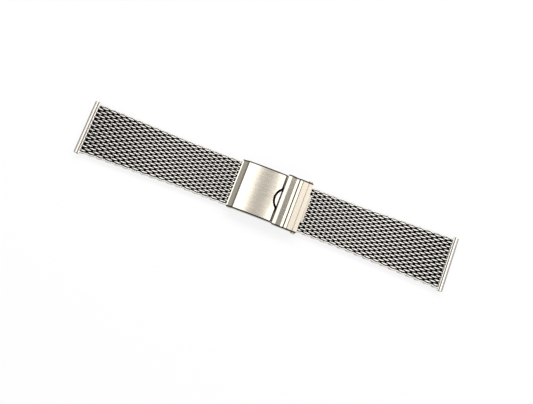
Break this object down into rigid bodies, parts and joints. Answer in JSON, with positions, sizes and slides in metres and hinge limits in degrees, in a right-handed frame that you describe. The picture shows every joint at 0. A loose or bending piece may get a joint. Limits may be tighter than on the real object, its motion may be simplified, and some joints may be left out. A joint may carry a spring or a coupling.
{
  "type": "milanese mesh watch band",
  "caption": "Woven steel mesh watch band in two strands with a sliding fold-over clasp, a safety flap and tubes for spring bars.",
  "frame": {"origin": "middle of the band's length and width, at the underside of the clasp, where the band rests when it lies flat", "axes": "+X along the band from the cover's shoulder towards the finger lip, +Y across it, +Z out of the face worn outwards"},
  "size_m": [0.1526, 0.022, 0.0065],
  "materials": {
    "woven_steel_wire": "bright drawn stainless wire, polished on the crests",
    "brushed_cover_steel": "fine brushed stainless sheet",
    "polished_tube_steel": "polished stainless tube",
    "inner_steel": "plain stamped stainless",
    "pin_steel": "turned stainless pin"
  },
  "bodies": {
    "clasp_base": {"slider_frame": "inner_steel", "base_blade": "inner_steel", "locating_boss": "brushed_cover_steel", "latch_bar": "inner_steel", "fold_hinge_pin": "pin_steel", "lock_lever_pin": "pin_steel"},
    "fold_link": {"fold_link": "inner_steel"},
    "cover": {"cover_shell": "brushed_cover_steel", "cover_hinge_pin": "pin_steel", "flap_hinge_pin": "pin_steel", "strap_pin": "pin_steel"},
    "safety_flap": {"safety_flap": "brushed_cover_steel"},
    "lock_lever": {"lock_lever": "inner_steel"},
    "tail": {"tail_mesh": "woven_steel_wire", "tail_end_cap": "polished_tube_steel"},
    "left_mesh_1": {"left_mesh_1": "woven_steel_wire"},
    "left_mesh_2": {"left_mesh_2": "woven_steel_wire"},
    "left_mesh_3": {"left_mesh_3": "woven_steel_wire"},
    "left_mesh_4": {"left_mesh_4": "woven_steel_wire"},
    "left_mesh_5": {"left_mesh_5": "woven_steel_wire"},
    "left_mesh_6": {"left_mesh_6": "woven_steel_wire"},
    "left_mesh_7": {"left_mesh_7": "woven_steel_wire"},
    "left_mesh_8": {"left_mesh_8": "woven_steel_wire", "left_lug_tube": "polished_tube_steel"},
    "right_mesh_1": {"right_mesh_1": "woven_steel_wire"},
    "right_mesh_2": {"right_mesh_2": "woven_steel_wire"},
    "right_mesh_3": {"right_mesh_3": "woven_steel_wire"},
    "right_mesh_4": {"right_mesh_4": "woven_steel_wire"},
    "right_mesh_5": {"right_mesh_5": "woven_steel_wire"},
    "right_mesh_6": {"right_mesh_6": "woven_steel_wire"},
    "right_mesh_7": {"right_mesh_7": "woven_steel_wire", "right_lug_tube": "polished_tube_steel"}
  },
  "joints": [
    {"name": "fold_hinge", "type": "hinge", "parent": "clasp_base", "child": "fold_link", "pos_m": [-0.0102, 0, 0.00455], "axis": [0, -1, 0], "range_deg": [0, 160]},
    {"name": "cover_hinge", "type": "hinge", "parent": "fold_link", "child": "cover", "pos_m": [0.0013, 0, 0.00455], "axis": [0, -1, 0], "range_deg": [-160, 0]},
    {"name": "flap_hinge", "type": "hinge", "parent": "cover", "child": "safety_flap", "pos_m": [0.0061, 0, 0.0053], "axis": [0, -1, 0], "range_deg": [0, 80]},
    {"name": "lever_hinge", "type": "hinge", "parent": "clasp_base", "child": "lock_lever", "pos_m": [0.0144, 0, 0.0004], "axis": [0, -1, 0], "range_deg": [0, 75]},
    {"name": "size_slide", "type": "slide", "parent": "clasp_base", "child": "tail", "axis": [1, 0, 0], "range_m": [-0.006, 0.008]},
    {"name": "strap_hinge", "type": "hinge", "parent": "cover", "child": "left_mesh_1", "pos_m": [-0.0125, 0, 0.00205], "axis": [0, -1, 0], "range_deg": [-6, 60]},
    {"name": "left_bend_1", "type": "hinge", "parent": "left_mesh_1", "child": "left_mesh_2", "pos_m": [-0.0237, 0, 0.00205], "axis": [0, -1, 0], "range_deg": [-25, 25]},
    {"name": "right_bend_1", "type": "hinge", "parent": "tail", "child": "right_mesh_1", "pos_m": [0.0237, 0, 0.00205], "axis": [0, 1, 0], "range_deg": [-25, 25]},
    {"name": "left_bend_2", "type": "hinge", "parent": "left_mesh_2", "child": "left_mesh_3", "pos_m": [-0.0309, 0, 0.00205], "axis": [0, -1, 0], "range_deg": [-25, 25]},
    {"name": "right_bend_2", "type": "hinge", "parent": "right_mesh_1", "child": "right_mesh_2", "pos_m": [0.0309, 0, 0.00205], "axis": [0, 1, 0], "range_deg": [-25, 25]},
    {"name": "left_bend_3", "type": "hinge", "parent": "left_mesh_3", "child": "left_mesh_4", "pos_m": [-0.0381, 0, 0.00205], "axis": [0, -1, 0], "range_deg": [-25, 25]},
    {"name": "right_bend_3", "type": "hinge", "parent": "right_mesh_2", "child": "right_mesh_3", "pos_m": [0.0381, 0, 0.00205], "axis": [0, 1, 0], "range_deg": [-25, 25]},
    {"name": "left_bend_4", "type": "hinge", "parent": "left_mesh_4", "child": "left_mesh_5", "pos_m": [-0.0453, 0, 0.00205], "axis": [0, -1, 0], "range_deg": [-25, 25]},
    {"name": "right_bend_4", "type": "hinge", "parent": "right_mesh_3", "child": "right_mesh_4", "pos_m": [0.0453, 0, 0.00205], "axis": [0, 1, 0], "range_deg": [-25, 25]},
    {"name": "left_bend_5", "type": "hinge", "parent": "left_mesh_5", "child": "left_mesh_6", "pos_m": [-0.0525, 0, 0.00205], "axis": [0, -1, 0], "range_deg": [-25, 25]},
    {"name": "right_bend_5", "type": "hinge", "parent": "right_mesh_4", "child": "right_mesh_5", "pos_m": [0.0525, 0, 0.00205], "axis": [0, 1, 0], "range_deg": [-25, 25]},
    {"name": "left_bend_6", "type": "hinge", "parent": "left_mesh_6", "child": "left_mesh_7", "pos_m": [-0.0597, 0, 0.00205], "axis": [0, -1, 0], "range_deg": [-25, 25]},
    {"name": "right_bend_6", "type": "hinge", "parent": "right_mesh_5", "child": "right_mesh_6", "pos_m": [0.0597, 0, 0.00205], "axis": [0, 1, 0], "range_deg": [-25, 25]},
    {"name": "left_bend_7", "type": "hinge", "parent": "left_mesh_7", "child": "left_mesh_8", "pos_m": [-0.0669, 0, 0.00205], "axis": [0, -1, 0], "range_deg": [-25, 25]},
    {"name": "right_bend_7", "type": "hinge", "parent": "right_mesh_6", "child": "right_mesh_7", "pos_m": [0.0669, 0, 0.00205], "axis": [0, 1, 0], "range_deg": [-25, 25]}
  ],
  "couplings": [
    {"joint": "cover_hinge", "follows": "fold_hinge", "ratio": -1}
  ]
}
